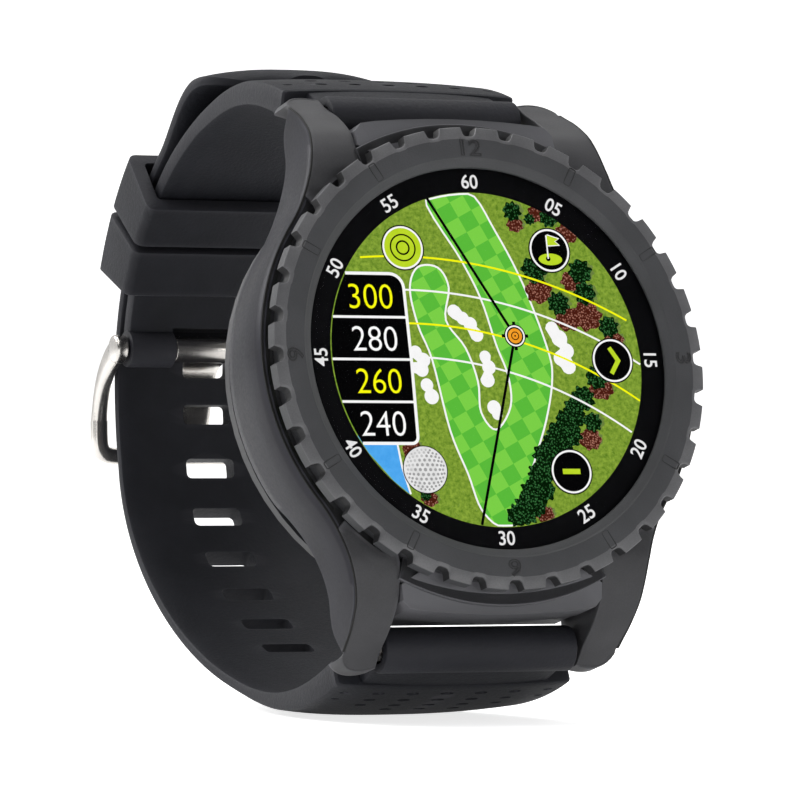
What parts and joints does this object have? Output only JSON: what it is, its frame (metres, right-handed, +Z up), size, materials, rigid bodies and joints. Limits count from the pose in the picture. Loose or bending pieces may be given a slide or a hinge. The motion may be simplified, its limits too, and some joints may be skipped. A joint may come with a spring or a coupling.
{
  "type": "golf gps watch",
  "caption": "Round golf GPS watch with a notched bezel, a colour course-map display and a rubber strap buckled into a closed loop.",
  "frame": {"origin": "on the surface it stands on, below the middle of the watch's bounding box", "axes": "+Z up, the face looks along -Y and leans back 13.9 degrees, +X towards 3 o'clock and the side button"},
  "size_m": [0.0498, 0.0834, 0.0691],
  "materials": {
    "strap_rubber": "fine matt grain",
    "case_polymer": "satin dark grey",
    "seal_rubber": "matt",
    "cover_glass": "polished",
    "screen": "lit display",
    "dial_black": "black print under glass",
    "black_plastic": "moulded",
    "buckle_steel": "satin",
    "bar_steel": "turned",
    "contact_gold": "plated",
    "board": "solder mask",
    "antenna_ceramic": "fired ceramic",
    "battery_foil": "foil pouch",
    "tin_steel": "tinned"
  },
  "bodies": {
    "watch": {"back_gasket": "seal_rubber", "bar_spring_lower": "bar_steel", "bar_spring_upper": "bar_steel", "battery": "battery_foil", "bezel_ring": "case_polymer", "buckle_bar": "buckle_steel", "button_seal": "seal_rubber", "button_switch": "black_plastic", "case_back": "case_polymer", "case_screw_1": "bar_steel", "case_screw_2": "bar_steel", "case_screw_3": "bar_steel", "case_screw_4": "bar_steel", "charging_contact_1": "contact_gold", "charging_contact_2": "contact_gold", "charging_contact_3": "contact_gold", "charging_contact_4": "contact_gold", "dial_ring": "dial_black", "display_gasket": "seal_rubber", "display_panel": "screen", "fixed_keeper": "strap_rubber", "front_glass": "cover_glass", "gps_antenna": "antenna_ceramic", "inner_frame": "black_plastic", "lug_bar_lower": "bar_steel", "lug_bar_upper": "bar_steel", "main_board": "board", "mid_case": "case_polymer", "shield_can": "tin_steel", "strap_lower": "strap_rubber", "strap_upper": "strap_rubber", "vibration_motor": "tin_steel"},
    "button": {"side_button": "case_polymer"},
    "upper_pin_right": {"bar_pin_upper_right": "bar_steel"},
    "upper_pin_left": {"bar_pin_upper_left": "bar_steel"},
    "lower_pin_right": {"bar_pin_lower_right": "bar_steel"},
    "lower_pin_left": {"bar_pin_lower_left": "bar_steel"},
    "buckle": {"buckle_frame": "buckle_steel"},
    "tongue": {"buckle_tongue": "buckle_steel"},
    "keeper": {"sliding_keeper": "strap_rubber"}
  },
  "joints": [
    {"name": "button_press", "type": "slide", "parent": "watch", "child": "button", "axis": [-1, 0, 0], "range_m": [0, 0.0006], "stiffness_N_per_m": 2500, "springref_m": -0.0002},
    {"name": "upper_pin_right_slide", "type": "slide", "parent": "watch", "child": "upper_pin_right", "axis": [-1, 0, 0], "range_m": [0, 0.0015], "stiffness_N_per_m": 800, "springref_m": -0.0004},
    {"name": "upper_pin_left_slide", "type": "slide", "parent": "watch", "child": "upper_pin_left", "axis": [1, 0, 0], "range_m": [0, 0.0015], "stiffness_N_per_m": 800, "springref_m": -0.0004},
    {"name": "lower_pin_right_slide", "type": "slide", "parent": "watch", "child": "lower_pin_right", "axis": [-1, 0, 0], "range_m": [0, 0.0015], "stiffness_N_per_m": 800, "springref_m": -0.0004},
    {"name": "lower_pin_left_slide", "type": "slide", "parent": "watch", "child": "lower_pin_left", "axis": [1, 0, 0], "range_m": [0, 0.0015], "stiffness_N_per_m": 800, "springref_m": -0.0004},
    {"name": "buckle_hinge", "type": "hinge", "parent": "watch", "child": "buckle", "pos_m": [-0.00045, 0.03299, 0.03874], "axis": [1, 0, 0], "range_deg": [0, 3.5]},
    {"name": "tongue_hinge", "type": "hinge", "parent": "buckle", "child": "tongue", "pos_m": [-0.00045, 0.03299, 0.03874], "axis": [1, 0, 0], "range_deg": [0, 3]},
    {"name": "keeper_slide", "type": "hinge", "parent": "watch", "child": "keeper", "pos_m": [-0.00045, 0.00387, 0.03434], "axis": [1, 0, 0], "range_deg": [0, 3]}
  ]
}
